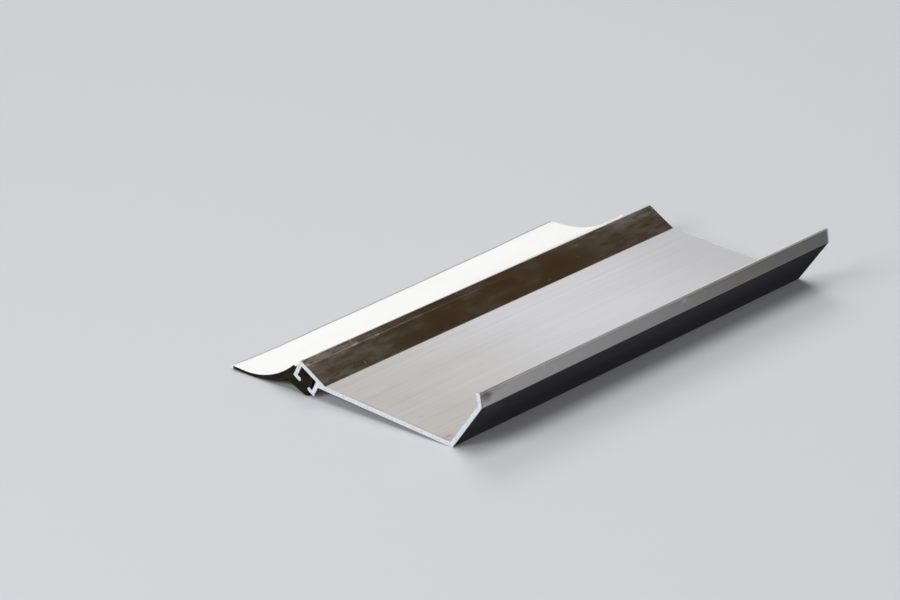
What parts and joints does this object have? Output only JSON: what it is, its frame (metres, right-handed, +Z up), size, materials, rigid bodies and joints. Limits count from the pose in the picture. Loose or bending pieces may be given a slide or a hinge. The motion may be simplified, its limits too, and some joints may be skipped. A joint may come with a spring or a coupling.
{
  "type": "wall connection profile",
  "caption": "Length of extruded aluminium flashing: wide plate, sloped wall flange with a bent sealant lip, and a hooded channel that holds a wide rubber sealing lip.",
  "frame": {"origin": "on the floor, under the middle of the whole part's box", "axes": "+Z up, +Y along the extrusion to the end where the seal stops short, +X towards the wall flange"},
  "size_m": [0.1644, 0.25, 0.0316],
  "materials": {
    "mill_aluminium": "mill finish with lengthwise die lines, saw-cut ends",
    "seal_rubber": "matt, white upper face, dark foot, underside and cut ends"
  },
  "bodies": {
    "root": {"aluminium_profile": "mill_aluminium", "sealing_lip": "seal_rubber"}
  },
  "joints": []
}
